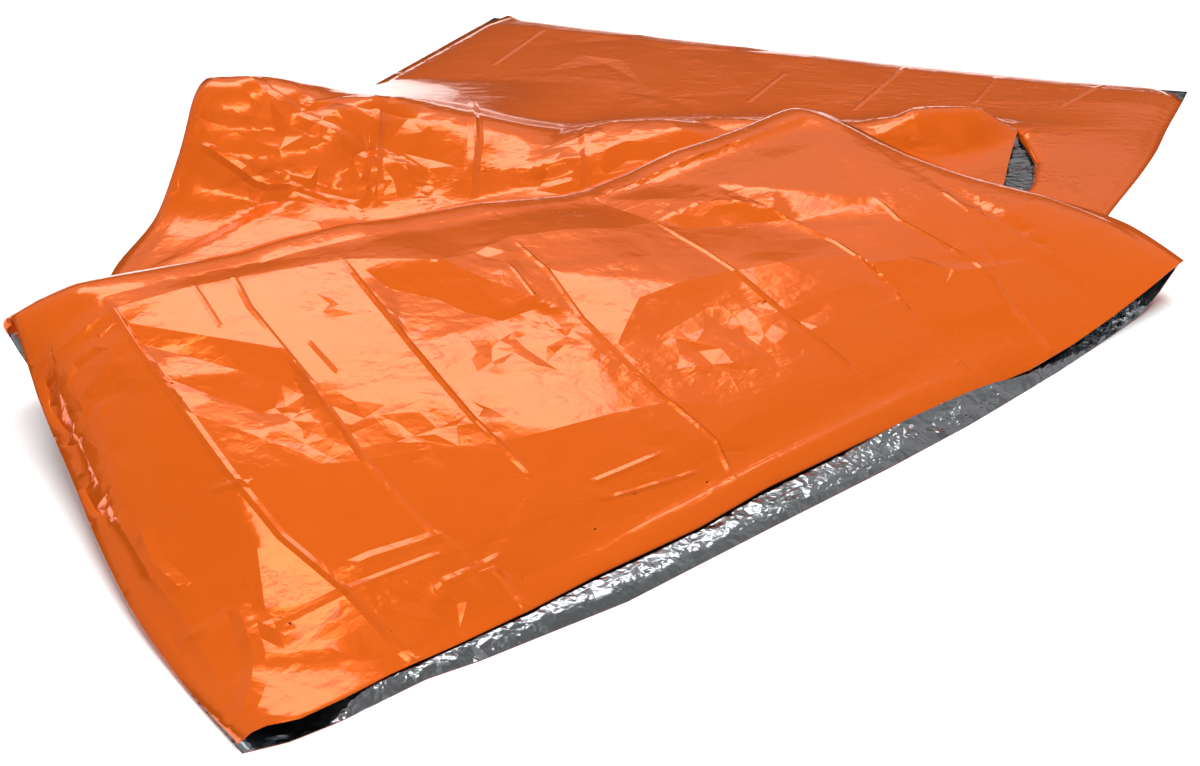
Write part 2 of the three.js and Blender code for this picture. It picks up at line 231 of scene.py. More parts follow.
# creases, facets and crumples, in millimetres as laid out. A crease has a line of points, a
# height and a half width; a facet point has a height above the film; a crumple is a patch of
# small facets of random height. fore is the part from the crest to the mouth, back the rest.
creases = dict(
    fore=[
        dict(line=[(-595, -154), (-605, -249), (-620, -366), (-624, -432), (-617, -496), (-613, -577)],
             height=1.0, width=3.5),
        dict(line=[(-497, -154), (-514, -212), (-528, -309), (-544, -403), (-546, -472), (-536, -507)],
             height=.9, width=3),
        dict(line=[(-412, -178), (-440, -309), (-456, -406), (-458, -471)], height=1.1, width=3),
        dict(line=[(-266, -215), (-275, -266), (-299, -337), (-319, -445), (-321, -509), (-337, -568)],
             height=1.0, width=3),
        dict(line=[(-123, -232), (-133, -306), (-158, -422), (-170, -515)], height=.9, width=3),
        dict(line=[(-23, -280), (-33, -364), (-58, -447), (-75, -487)], height=.9, width=3),
        dict(line=[(59, -332), (40, -372), (29, -463), (3, -518), (-16, -589)], height=.9, width=3),
        dict(line=[(112, -367), (99, -406)], height=.8, width=3),
        dict(line=[(-84, -543), (-92, -580)], height=.8, width=3),
        dict(line=[(-683, -484), (-620, -492), (-551, -500)], height=.7, width=4),
        dict(line=[(-567, -526), (-520, -525)], height=1.0, width=5),
        dict(line=[(-428, -495), (-363, -496)], height=1.0, width=4),
        dict(line=[(-423, -517), (-352, -531)], height=1.0, width=4),
        dict(line=[(-532, -160), (-547, -231)], height=.5, width=2.5),
        dict(line=[(-501, -268), (-506, -315)], height=.5, width=2.5),
        dict(line=[(-299, -246), (-316, -306)], height=.5, width=2.5),
        dict(line=[(-531, -531), (-533, -590)], height=.8, width=3),
        dict(line=[(-605, -477), (-589, -477), (-542, -485)], height=1.3, width=6),
        dict(line=[(-637, -368), (-615, -382)], height=.9, width=4),
        dict(line=[(-680, -361), (-689, -391), (-688, -424)], height=1.6, width=7),
        dict(line=[(-671, -459), (-684, -496), (-697, -517), (-714, -537)], height=2.0, width=7),
        dict(line=[(-671, -459), (-690, -460), (-708, -456)], height=1.2, width=6),
        dict(line=[(-671, -475), (-663, -500)], height=1.4, width=8),
    ],
    back=[
        dict(line=[(397, 87), (271, 30)], height=1.0, width=4),
        dict(line=[(533, 11), (341, -67)], height=1.2, width=4),
        dict(line=[(579, -91), (464, -141)], height=1.0, width=4),
        dict(line=[(658, -189), (528, -213)], height=.9, width=4),
        dict(line=[(311, 437), (150, 345)], height=1.0, width=4),
        dict(line=[(-36, 321), (-228, 42)], height=1.6, width=6),
        dict(line=[(-1, 189), (-129, 23)], height=1.6, width=6),
        dict(line=[(55, 62), (-54, -62)], height=1.6, width=6),
        dict(line=[(-331, 194), (-308, 126), (-245, 53)], height=1.6, width=6),
        dict(line=[(-248, 239), (-249, 206), (-237, 182), (-217, 134), (-209, 116)], height=3, width=14),
        dict(line=[(-137, 164), (-183, 105), (-199, 88), (-245, 47)], height=2, width=8),
        dict(line=[(-57, 113), (-91, 68), (-119, 38), (-148, 0)], height=2, width=8),
    ],
)
folds = [                                            # fold lines with the film's own height, mm
    [(-650, -150, 84), (-595, -150, 94), (-497, -150, 87), (-412, -150, 83), (-366, -150, 79),
     (-319, -150, 72), (-266, -150, 67), (-200, -150, 58), (-123, -150, 46), (-60, -150, 47),
     (0, -150, 53), (59, -150, 56), (112, -150, 58), (172, -150, 60)],
    [(-648, -178, 80), (-596, -170, 92), (-540, -168, 90), (-497, -170, 87), (-412, -182, 81),
     (-352, -222, 76), (-313, -222, 71), (-266, -205, 67), (-210, -212, 60), (-160, -230, 53),
     (-123, -232, 50), (-71, -206, 52), (-23, -210, 54), (59, -205, 58), (112, -205, 59),
     (172, -200, 61)],
    [(-595, -150, 94), (-596, -170, 92), (-605, -249, 79), (-620, -366, 54), (-624, -432, 38),
     (-617, -496, 24), (-612, -555, 11)],
    [(-497, -150, 87), (-497, -170, 87), (-514, -212, 81), (-528, -309, 66), (-544, -403, 48),
     (-546, -472, 31), (-536, -520, 19), (-530, -560, 11)],
    [(-412, -150, 83), (-412, -182, 81), (-440, -309, 62), (-456, -406, 46), (-458, -471, 31),
     (-460, -560, 9)],
    [(-266, -150, 67), (-266, -205, 67), (-275, -266, 59), (-299, -337, 48), (-319, -445, 33),
     (-321, -509, 21), (-333, -556, 8)],
    [(-123, -150, 46), (-123, -232, 50), (-133, -306, 48), (-158, -422, 37), (-165, -475, 28),
     (-170, -515, 19), (-172, -556, 8)],
    [(-23, -150, 51), (-23, -210, 54), (-23, -280, 52), (-33, -364, 47), (-58, -447, 37),
     (-75, -487, 28), (-84, -565, 9)],
    [(59, -150, 56), (59, -205, 58), (59, -332, 54), (40, -372, 51), (29, -463, 42),
     (3, -518, 31), (-12, -562, 16)],
    [(112, -150, 58), (112, -205, 59), (112, -367, 57), (99, -430, 52), (90, -503, 43),
     (80, -560, 26)],
    [(-407, -204, 78), (-380, -203, 79), (-346, -226, 75), (-335, -262, 68), (-318, -293, 60)],
    [(-405, -230, 70), (-380, -260, 63), (-372, -284, 58), (-355, -308, 54), (-323, -308, 54)],
    [(-300, -380, 43), (-242, -340, 50), (-200, -340, 50), (-148, -348, 48), (-103, -364, 48),
     (-38, -396, 47)],
    [(-262, -388, 40), (-201, -377, 41), (-164, -390, 40), (-112, -418, 41), (-70, -428, 42)],
    [(-595, -190, 87), (-562, -233, 81), (-525, -271, 73)],
    [(-598, -215, 80), (-581, -240, 75), (-560, -275, 69), (-536, -312, 61)],
    [(-603, -263, 74), (-587, -290, 65), (-571, -320, 58), (-545, -338, 57)],
    [(-612, -301, 68), (-588, -345, 58), (-575, -385, 50), (-544, -403, 48), (-505, -414, 46),
     (-458, -432, 41), (-416, -440, 39), (-367, -446, 36), (-319, -455, 32), (-285, -478, 27),
     (-222, -482, 27), (-165, -475, 28), (-114, -455, 34), (-60, -458, 35)],
    [(-644, -165, 81), (-655, -200, 71), (-664, -235, 62), (-672, -272, 52), (-680, -310, 42),
     (-688, -355, 31), (-695, -400, 22), (-699, -450, 15), (-708, -500, 9)],
    [(-45, -412, 47), (-20, -424, 47), (40, -443, 46), (84, -470, 47)],
    [(-40, -436, 42), (12, -468, 41.5), (79, -492, 42)],
    [(-87, -200, 53), (-64, -232, 54), (-42, -246, 54), (5, -257, 56)],
    [(-105, -254, 45), (-47, -283, 44), (-20, -306, 46)],
    [(-605, -540, 15), (-562, -528, 20), (-530, -532, 18), (-520, -550, 12)],
    [(-640, -430, 36), (-660, -470, 23), (-672, -520, 12)],
]
facetSpots = dict(                                   # knobs behind the crest, and their outer edge
    back=[(-278, 192, 3), (-255, 169, -2), (-226, 125, 4), (-187, 104, -5), (-176, 69, 4),
          (-164, 57, -3), (-123, 36, 4), (-202, 189, -4), (-202, 154, 3), (-294, 190, 0),
          (-321, 173, 4), (-349, 153, -2), (-319, 107, -4), (-288, 133, 6), (-261, 165, -3),
          (-282, 129, 3), (-247, 46, -3), (-293, 83, 5), (-252, 88, -4), (-198, 0, 3),
          (-73, -1, 5), (-44, -24, -3), (-82, -12, -4), (13, 11, 4), (-58, -80, -2),
          (-20, -18, 5), (337, -158, 8), (310, -231, -4), (280, -200, -6), (294, -180, 4),
          (237, -158, 5), (398, -202, 0), (152, -130, -4), (92, -40, 5)],
    rim=[(-400, 300), (-480, 60), (-300, -100), (0, -250), (260, -330), (420, -260),
         (330, -120), (120, 20), (-60, 160), (-180, 250)],
)
crumples = dict(                                     # patches of small flat facets
    fore=[
        dict(centre=(-634, -225), size=(30, 62), spacing=13, height=2.0),
        dict(centre=(-668, -250), size=(16, 90), spacing=16, height=1.4),
        dict(centre=(-455, -238), size=(30, 26), spacing=11, height=.7),
        dict(centre=(-350, -352), size=(66, 42), spacing=14, height=.9),
        dict(centre=(-472, -400), size=(52, 34), spacing=13, height=.9),
        dict(centre=(-290, -236), size=(42, 40), spacing=14, height=.9),
        dict(centre=(-200, -430), size=(100, 42), spacing=15, height=.8),
        dict(centre=(-60, -235), size=(60, 40), spacing=14, height=.8),
        dict(centre=(0, -450), size=(80, 30), spacing=14, height=.8),
        dict(centre=(-545, -350), size=(50, 60), spacing=15, height=.9),
        dict(centre=(-560, -535), size=(50, 24), spacing=13, height=.8),
        dict(centre=(-380, -515), size=(120, 36), spacing=16, height=.8),
        dict(centre=(-250, -350), size=(400, 190), spacing=42, height=.55),
    ],
    back=[
        dict(centre=(-220, 110), size=(150, 110), spacing=21, height=2.2),
        dict(centre=(10, -60), size=(140, 90), spacing=24, height=1.8),
        dict(centre=(250, -170), size=(120, 80), spacing=26, height=1.6),
        dict(centre=(330, 150), size=(300, 330), spacing=70, height=1.0),
    ],
)
creaseEnd = dict(run=.12, blunt=.25)                 # shares: length of the taper, height at the tip
facetTolerance = dict(merge=1e-4, area=1e-6, inside=1e-6)    # mm, mm2, share of a side
patchShape = dict(scatter=.42, fade=2.2)             # share of the spacing, steepness to the rim


def creaseField(x, y, table):                        # height of a table's creases
    total = np.zeros_like(x)
    for crease in table:
        nearest, along, run = np.full_like(x, np.inf), np.zeros_like(x), 0
        for a, b in zip(crease["line"], crease["line"][1:]):
            dx, dy = b[0] - a[0], b[1] - a[1]
            length = math.hypot(dx, dy)
            t = np.clip(((x - a[0]) * dx + (y - a[1]) * dy) / length ** 2, 0, 1)
            d = np.hypot(x - a[0] - t * dx, y - a[1] - t * dy)
            along = np.where(d < nearest, run + t * length, along)
            nearest = np.minimum(nearest, d)
            run += length
        tip = np.minimum(along, run - along) / (creaseEnd["run"] * run) + creaseEnd["blunt"]
        total += crease["height"] * np.clip(tip, 0, 1) * np.clip(1 - nearest / crease["width"], 0, 1)
    return total


class Facets:                                        # a surface of flat triangles between points
    def __init__(self, corners, heights, edges):
        made, _, self.triangles, sources, _, _ = delaunay_2d_cdt(
            [Vector(p) for p in corners], edges, [], 0, facetTolerance["merge"])
        self.corners, self.level = [tuple(p) for p in made], []
        for spot, source in zip(made, sources):
            if source:
                self.level.append(heights[source[0]])
            else:                                    # where two fold lines cross
                gaps = [math.dist(spot, c) + 1 for c in corners]
                self.level.append(sum(h / g ** 2 for h, g in zip(heights, gaps))
                                  / sum(1 / g ** 2 for g in gaps))

    def at(self, x, y):                              # height, or nan off the surface
        surface = np.full_like(x, np.nan)
        for i, j, k in self.triangles:
            (ax, ay), (bx, by), (cx, cy) = self.corners[i], self.corners[j], self.corners[k]
            area = (bx - ax) * (cy - ay) - (cx - ax) * (by - ay)
            if abs(area) < facetTolerance["area"]:
                continue
            close = np.flatnonzero((x >= min(ax, bx, cx)) & (x <= max(ax, bx, cx))
                                   & (y >= min(ay, by, cy)) & (y <= max(ay, by, cy)))
            u = ((x[close] - ax) * (cy - ay) - (cx - ax) * (y[close] - ay)) / area
            v = ((bx - ax) * (y[close] - ay) - (x[close] - ax) * (by - ay)) / area
            held = np.minimum(np.minimum(u, v), 1 - u - v) >= -facetTolerance["inside"]
            rise = self.level[i] + u * (self.level[j] - self.level[i])
            surface[close[held]] = (rise + v * (self.level[k] - self.level[i]))[held]
        return surface

    def lines(self):                                 # the triangles' sides
        pairs = {tuple(sorted((t[n], t[n - 1]))) for t in self.triangles for n in range(3)}
        return [[self.corners[a], self.corners[b]] for a, b in sorted(pairs)]


def foldFacets(lines, spots=()):                     # facets between fold lines and single points
    corners, heights, edges = [], [], []
    for line in [*lines, *[[spot] for spot in spots]]:
        numbers = []
        for px, py, height in line:
            if (px, py) not in corners:
                corners.append((px, py))
                heights.append(height)
            numbers.append(corners.index((px, py)))
        edges += list(zip(numbers, numbers[1:]))
    return Facets(corners, heights, edges)


def crumpleFacets(patch):                            # uneven points with random heights
    reach, step = np.array(patch["size"], float), patch["spacing"]
    corners, heights = [], []
    for px in np.arange(-reach[0], reach[0] + step / 2, step):
        for py in np.arange(-reach[1], reach[1] + step / 2, step):
            spot = np.array([px, py]) + rng.uniform(-1, 1, 2) * patchShape["scatter"] * step
            inner = 1 - np.linalg.norm(spot / reach)
            corners.append(tuple(spot + patch["centre"]))
            rise = patch["height"] * rng.uniform(-1, 1)
            heights.append(rise * float(ease(inner * patchShape["fade"])))
    return Facets(corners, heights, [])


def sample(grid, column, row):                       # value between the grid's points
    c = np.clip(np.floor(column).astype(int), 0, grid.shape[1] - 2)
    r = np.clip(np.floor(row).astype(int), 0, grid.shape[0] - 2)
    s, t = column - c, row - r
    if grid.ndim == 3:
        s, t = s[:, None], t[:, None]
    top = grid[r, c] * (1 - s) + grid[r, c + 1] * s
    return top * (1 - t) + (grid[r + 1, c] * (1 - s) + grid[r + 1, c + 1] * s) * t


cut = dict(                                          # how the lines are cut into the mesh
    step=5.5, miss=1,                                # mm: between points, furthest miss
    clear=.38, margin=.6, stride=2,                  # grid cells: kept free, kept inside, one step
    merge=1e-5, onSeam=1e-3,                         # grid cells: taken as one point, as on the seam
    rounds=3, above=4,                               # steps to a place, rows over the crest
)


def gridPlaces(spots, low, high):                    # column and row of layout points
    part = base[low:high + 1, :, :2]
    spots = np.array(spots, float)
    column, row = np.zeros(len(spots)), np.zeros(len(spots))
    for n, spot in enumerate(spots):
        r, c = np.unravel_index(((part - spot) ** 2).sum(axis=2).argmin(), part.shape[:2])
        column[n], row[n] = c, r
    most = cut["stride"]
    for _ in range(cut["rounds"]):
        here = sample(part, column, row)
        c = np.clip(column, .5, part.shape[1] - 1.5)
        r = np.clip(row, .5, part.shape[0] - 1.5)
        a = sample(part, c + .5, r) - sample(part, c - .5, r)
        b = sample(part, c, r + .5) - sample(part, c, r - .5)
        gap = spots - here
        area = a[:, 0] * b[:, 1] - a[:, 1] * b[:, 0]
        column += np.clip((gap[:, 0] * b[:, 1] - gap[:, 1] * b[:, 0]) / area, -most, most)
        row += np.clip((a[:, 0] * gap[:, 1] - a[:, 1] * gap[:, 0]) / area, -most, most)
        column = np.clip(column, 0, part.shape[1] - 1)
        row = np.clip(row, 0, part.shape[0] - 1)
    found = np.linalg.norm(spots - sample(part, column, row), axis=1) < cut["miss"]
    return column, row + low, found


def shiftedLine(line, width):                        # the line moved sideways
    path = np.array(line, float)[:, :2]
    run = np.gradient(path, axis=0)
    run /= np.linalg.norm(run, axis=1, keepdims=True)
    return path + np.stack([-run[:, 1], run[:, 0]], axis=1) * width


def cutLines(lines, low, high):                      # crease lines as points and edges on the grid
    spots, breaks = [], []
    for line in lines:
        line = np.array(line, float)[:, :2]
        for n, (a, b) in enumerate(zip(line, line[1:])):
            count = max(int(np.linalg.norm(b - a) / cut["step"]), 1)
            for k in range(count):
                spots.append(a + (b - a) * k / count)
                breaks.append(k == 0 and n == 0)
        spots.append(line[-1])
        breaks.append(False)
    column, row, found = gridPlaces(spots, low, high)
    found &= (column > cut["margin"]) & (column < base.shape[1] - 1 - cut["margin"])
    found &= (row > low + cut["margin"]) & (row < high - cut["margin"])
    pairs = [(n - 1, n) for n in range(1, len(spots)) if found[n] and found[n - 1] and not breaks[n]]
    return column, row, pairs


fading = dict(width=30, share=.35, planesWidth=22, rounds=12)    # mm, share left at the edges
edge = ease(edgeGap / fading["width"])
edgeWeight = fading["share"] + (1 - fading["share"]) * edge
foreWeight = near(*spans["fore"]) * edgeWeight
backWeight = near(*spans["back"]) * edgeWeight
planes = foldFacets(folds)
rim = [(a, b, 0) for a, b in facetSpots["rim"]]
knobs = foldFacets([rim + rim[:1]], facetSpots["back"])
patches = {part: [crumpleFacets(p) for p in crumples[part]] for part in ("fore", "back")}
held = np.isfinite(planes.at(base[..., 0].ravel(), base[..., 1].ravel())).reshape(base.shape[:2])
planeWeight = near(*spans["planes"]) * held * ease(edgeGap / fading["planesWidth"])
for _ in range(fading["rounds"]):                    # softens where the fold lines end
    spread = np.pad(planeWeight, 1, mode="edge")
    spread = (spread[:-2, 1:-1] + spread[2:, 1:-1] + spread[1:-1, :-2] + spread[1:-1, 2:]) / 4
    planeWeight = np.minimum(planeWeight, spread)


def relief(x, y, part):                              # height of creases and crumples, mm
    total = creaseField(x, y, creases[part])
    for patch in patches[part]:
        total += np.nan_to_num(patch.at(x, y))
    return total + (np.nan_to_num(knobs.at(x, y)) if part == "back" else 0)


print("creases and crumples laid")

# the two panels' middle surfaces
def lipMoves(panel, table):                          # how far the mouth's edge is from its line
    x = panel[-1, :, 0]
    return np.stack([x, tableAt(table, x, 1), tableAt(table, x, 2)], axis=1) - panel[-1]


normals = gridNormals(base)
lipPull = ease((place - (place[-1] - spans["lipReach"])) / spans["lipReach"])
lower = base + normals * (relief(base[..., 0].ravel(), base[..., 1].ravel(), "back")
                          .reshape(base.shape[:2]) * backWeight)[..., None]
lower += lipPull[:, None, None] * lipMoves(lower, lowerLip)
mouthX = lower[-1, :, 0]
tucked = ease((place[-1] - place) / spans["stripReach"])[:, None] * near(*spans["strip"])
stripRise = np.clip(tableAt(upperLip, mouthX, 2) - strip["gap"], 0, strip["most"])
stripRise *= ease((mouthX - strip["start"]) / strip["fadeIn"])
stripRise *= ease((strip["end"] - mouthX) / strip["fadeOut"])
lower[..., 2] = np.maximum(lower[..., 2], tucked * stripRise)
lower[..., 2] = np.maximum(lower[..., 2], bag["film"] / 2 + bag["floorGap"])
upper = base + normals * apart[..., None]
upper += lipPull[:, None, None] * lipMoves(upper, upperLip)
down = np.linalg.norm(np.diff(base, axis=0), axis=2).mean(axis=1)
down = np.append(0, np.cumsum(down))
flatPlace = np.stack(np.broadcast_arrays((across * bag["flatSize"][0])[None, :],
                                         (down / down[-1] * bag["flatSize"][1])[:, None]), axis=2)


def filmShell(name, verts, flat, triangles, sharp):  # closed film around a middle surface
    corners = verts[triangles]
    facing = np.cross(corners[:, 1] - corners[:, 0], corners[:, 2] - corners[:, 0])
    normal = np.zeros_like(verts)
    for n in range(3):
        np.add.at(normal, triangles[:, n], facing)
    normal /= np.maximum(np.linalg.norm(normal, axis=1, keepdims=True), tiny)
    count = len(verts)
    outer, inner = verts + normal * bag["film"] / 2, verts - normal * bag["film"] / 2
    sides = np.concatenate([triangles[:, [i, (i + 1) % 3]] for i in range(3)])
    keys = set(map(tuple, sides.tolist()))
    rimFaces = [(q, p, p + count, q + count) for p, q in sorted(keys) if (q, p) not in keys]
    faces = triangles.tolist() + (triangles[:, ::-1] + count).tolist() + rimFaces
    mesh = bpy.data.meshes.new(name)
    mesh.from_pydata((np.vstack([outer, inner]) * mm).tolist(), [], faces)
    slots = np.array([0] * len(triangles) + [1] * len(triangles) + [0] * len(rimFaces), np.int32)
    mesh.polygons.foreach_set("material_index", slots)
    mesh.polygons.foreach_set("use_smooth", np.ones(len(faces), bool))
    spread = mesh.attributes.new("flat", "FLOAT_VECTOR", "POINT")
    spread.data.foreach_set("vector", np.column_stack(
        [np.vstack([flat, flat]), np.zeros(2 * count)]).astype(np.float32).ravel())
    if len(sharp):
        ends = np.zeros(len(mesh.edges) * 2, np.int32)
        mesh.edges.foreach_get("vertices", ends)
        ends = np.sort(ends.reshape(-1, 2).astype(np.int64), axis=1)
        wanted = np.sort(np.vstack([sharp, sharp + count]).astype(np.int64), axis=1)
        one = 2 * count                              # makes one number of an edge's two ends
        crisp = np.isin(ends[:, 0] * one + ends[:, 1], wanted[:, 0] * one + wanted[:, 1])
        mesh.attributes.new("sharp_edge", "BOOLEAN", "EDGE").data.foreach_set("value", crisp)
    mesh.update()
    piece = bpy.data.objects.new(name, mesh)
    bpy.context.scene.collection.objects.link(piece)
    return piece


def lowerFilm():                                     # plain grid, two triangles to a cell
    rows, columns = lower.shape[:2]
    number = np.arange(rows * columns).reshape(rows, columns)
    a, b, c, d = (n.ravel() for n in (number[:-1, :-1], number[1:, :-1], number[1:, 1:],
                                      number[:-1, 1:]))
    triangles = np.vstack([np.stack([a, c, b], axis=1), np.stack([a, d, c], axis=1)])
    return filmShell("lower_film", (lower + origin).reshape(-1, 3), flatPlace.reshape(-1, 2),
                     triangles, [])


def creaseEdges(rows):                               # crease, fold and patch lines on the grid
    regions = dict(fore=(crestRow - cut["above"], rows - 1),
                   back=(0, int(np.argmin(abs(place - sectionNumber("shelter"))))))
    spots, edges = [], []
    for part, (low, high) in regions.items():
        lines = [line for patch in patches[part] for line in patch.lines()]
        lines += [shiftedLine(c["line"], c["width"] * side) for c in creases[part]
                  for side in (-1, 0, 1)]
        if part == "fore":
            lines += folds
        column, row, pairs = cutLines(lines, low, high)
        edges += [(a + len(spots), b + len(spots)) for a, b in pairs]
        spots += list(zip(column.tolist(), row.tolist()))
    return spots, edges


def clearedGrid(rows, columns, ends):                # grid points that lie on no line
    kept = np.ones((rows, columns), bool)
    for (ca, ra), (cb, rb) in ends:                  # looks at the cells around each line only
        c0, c1 = max(int(min(ca, cb)) - 1, 1), min(int(max(ca, cb)) + 3, columns - 1)
        r0, r1 = max(int(min(ra, rb)) - 1, 1), min(int(max(ra, rb)) + 3, rows - 1)
        cc, rr = np.meshgrid(np.arange(c0, c1), np.arange(r0, r1))
        dc, dr = cb - ca, rb - ra
        t = np.clip(((cc - ca) * dc + (rr - ra) * dr) / max(dc * dc + dr * dr, tiny), 0, 1)
        close = np.hypot(cc - ca - t * dc, rr - ra - t * dr) < cut["clear"]
        kept[rr[close], cc[close]] = False
    return kept


def creasedMesh(rows, columns):                      # triangles whose sides follow the lines
    spots, edges = creaseEdges(rows)
    kept = clearedGrid(rows, columns, np.array(spots)[np.array(edges)])
    opened = np.flatnonzero(slitOpen > 0)
    opened = np.append(opened[0] - 1, np.append(opened, opened[-1] + 1))
    kept[opened, seamColumn] = True
    gridRows, gridColumns = np.nonzero(kept)
    number = {(int(c), int(r)): n for n, (c, r) in enumerate(zip(gridColumns, gridRows))}
    used = sorted({n for pair in edges for n in pair})
    order = {n: len(number) + k for k, n in enumerate(used)}
    corners = [Vector((float(c), float(r))) for c, r in zip(gridColumns, gridRows)]
    corners += [Vector(spots[n]) for n in used]
    bound = [(order[a], order[b]) for a, b in edges]
    bound += [(number[(seamColumn, int(a))], number[(seamColumn, int(b))])
              for a, b in zip(opened, opened[1:])]
    made, madeEdges, triangles, _, sources, _ = delaunay_2d_cdt(corners, bound, [], 0, cut["merge"])
    column, row = np.array(made).T
    return column, row, np.array(triangles), np.array([e for e, s in zip(madeEdges, sources) if s])


def pullCorners(sheet, column, row, columns):        # shows silver at both foot corners
    ends = [sheet[column + row < .5][0], sheet[(column > columns - 1.5) & (row < .5)][0]]
    middle = (ends[0][0] + ends[1][0]) / 2
    for corner in ends:
        pull = ease(1 - np.linalg.norm(sheet[:, :2] - corner[:2], axis=1) / bag["cornerReach"])
        side = np.sign(corner[0] - middle)
        sheet[:, :2] -= pull[:, None] * bag["cornerPull"] * side * np.array(bag["cornerRun"])


def upperFilm():                                     # its mesh edges follow the creases
    rows, columns = base.shape[:2]
    column, row, triangles, sharp = creasedMesh(rows, columns)
    sheet, ground = sample(upper, column, row), sample(base, column, row)
    x, y = ground[:, 0].copy(), ground[:, 1].copy()
    level = planes.at(x, y)
    weight = sample(planeWeight, column, row) * np.isfinite(level)
    sheet[:, 2] += weight * (np.nan_to_num(level) - sheet[:, 2])
    lift = (relief(x, y, "fore") * sample(foreWeight, column, row)
            + relief(x, y, "back") * sample(backWeight, column, row))
    sheet += sample(gridNormals(upper), column, row) * lift[:, None]
    sheet[:, 2] = np.maximum(sheet[:, 2], sample(lower, column, row)[:, 2] + shut * bag["press"])
    flat = sample(flatPlace, column, row)
    gape = np.interp(row, np.arange(rows), slitOpen)
    far = np.flatnonzero((abs(column - seamColumn) < cut["onSeam"]) & (gape > 0))
    away = np.array([math.cos(bag["slitTurn"]), math.sin(bag["slitTurn"]), 0]) * bag["slitWidth"]
    farLip = ground[far] + away * gape[far][:, None]
    farLip[:, 2] = sample(base, column[far] + 1, row[far])[:, 2] + bag["lipDrop"]
    beside = np.clip((columns - 1 - column) / (columns - 1 - seamColumn), 0, 1) * gape
    beside *= column > seamColumn + cut["onSeam"]
    sheet += away * beside[:, None]
    pullCorners(sheet, column, row, columns)
    swap = np.arange(len(column))                    # the far side of the slit takes its own lip
    swap[far] = len(column) + np.arange(len(far))
    beyond = column[triangles].mean(axis=1) > seamColumn
    triangles[beyond] = swap[triangles[beyond]]
    sheet, flat = np.vstack([sheet, farLip]), np.vstack([flat, flat[far]])
    return filmShell("upper_film", sheet + origin, flat, triangles[:, ::-1], sharp)


upperPiece, lowerPiece = upperFilm(), lowerFilm()
print("film pieces made", len(upperPiece.data.polygons), len(lowerPiece.data.polygons))


# finishes
class Wire:                                          # a socket that can be used in arithmetic
    def __init__(self, finish, socket):
        self.finish, self.socket = finish, socket

    def math(self, operation, first, second):
        return self.finish.node("ShaderNodeMath", dict(operation=operation), {0: first, 1: second})

    def __add__(self, other):
        return self.math("ADD", self, other)

    def __sub__(self, other):
        return self.math("SUBTRACT", self, other)

    def __rsub__(self, other):
        return self.math("SUBTRACT", other, self)

    def __mul__(self, other):
        return self.math("MULTIPLY", self, other)

    __radd__, __rmul__ = __add__, __mul__


class Finish:                                        # a material or a world, and the nodes in it
    def __init__(self, owner):
        self.owner = owner
        owner.use_nodes = True
        self.tree = owner.node_tree
        self.tree.nodes.clear()

    def node(self, kind, settings=None, values=None, output=0):
        made = self.tree.nodes.new(kind)
        for name, value in (settings or {}).items():
            if name == "stops":
                ramp = made.color_ramp.elements
                while len(ramp) < len(value):
                    ramp.new(.5)
                for stop, (position, colour) in zip(ramp, value):
                    stop.position, stop.color = position, colour
            else:
                setattr(made, name, value)
        for name, value in (values or {}).items():
            if isinstance(value, Wire):
                self.tree.links.new(value.socket, made.inputs[name])
            else:
                made.inputs[name].default_value = value
        return Wire(self, made.outputs[output]) if len(made.outputs) else None

    def scaled(self, vector, scale):
        return self.node("ShaderNodeVectorMath", dict(operation="SCALE"),
                         {"Vector": vector, "Scale": scale})

    def noise(self, vector, scale, detail=2):
        return self.node("ShaderNodeTexNoise", dict(noise_dimensions="3D"),
                         dict(Vector=vector, Scale=scale, Detail=detail), "Fac")

    def warped(self, vector, scale, amount):         # coordinates pushed about by a noise
        push = self.node("ShaderNodeTexNoise", None,
                         dict(Vector=vector, Scale=scale, Detail=2), "Color")
        push = self.node("ShaderNodeVectorMath", dict(operation="SUBTRACT"),
                         {0: push, 1: (.5, .5, .5)})
        push = self.scaled(push, amount)
        return self.node("ShaderNodeVectorMath", dict(operation="ADD"), {0: vector, 1: push})

    def cells(self, vector, size, feature="DISTANCE_TO_EDGE", output="Distance"):
        return self.node("ShaderNodeTexVoronoi", dict(feature=feature),
                         dict(Vector=vector, Scale=1 / size), output)

    def clamped(self, operation, *values):
        return self.node("ShaderNodeMath", dict(operation=operation, use_clamp=True),
                         dict(enumerate(values)))

    def blend(self, factor, first, second):          # colour between two
        return self.node("ShaderNodeMix", dict(data_type="RGBA"),
                         {"Factor": factor, "A": first, "B": second}, "Result")


facetKinds = (                                       # metres across the film's small facets
    dict(size=.034, slope=.6, warpScale=14, warp=.02),
    dict(size=.013, slope=1, warpScale=40, warp=.006),
    dict(size=.005, slope=.8, warpScale=1, warp=0),
)
ridges = dict(                                       # metres: a net of fine creases, shown in places
    cell=.048, width=.0016, height=.00022, warpScale=6, warp=.02, shownScale=22, gain=8, shift=-4.2)


def facetHeight(finish, flat, kind, slope):          # flat-sided cells, each with its own tilt
    spot = finish.warped(flat, kind["warpScale"], kind["warp"]) if kind["warp"] else flat
    pick = finish.cells(spot, kind["size"], "F1", "Color")
    tilt = finish.node("ShaderNodeSeparateColor", None, dict(Color=pick), "Red") - .5
    return finish.cells(spot, kind["size"]) * tilt * (2 * slope * kind["slope"] * kind["size"])


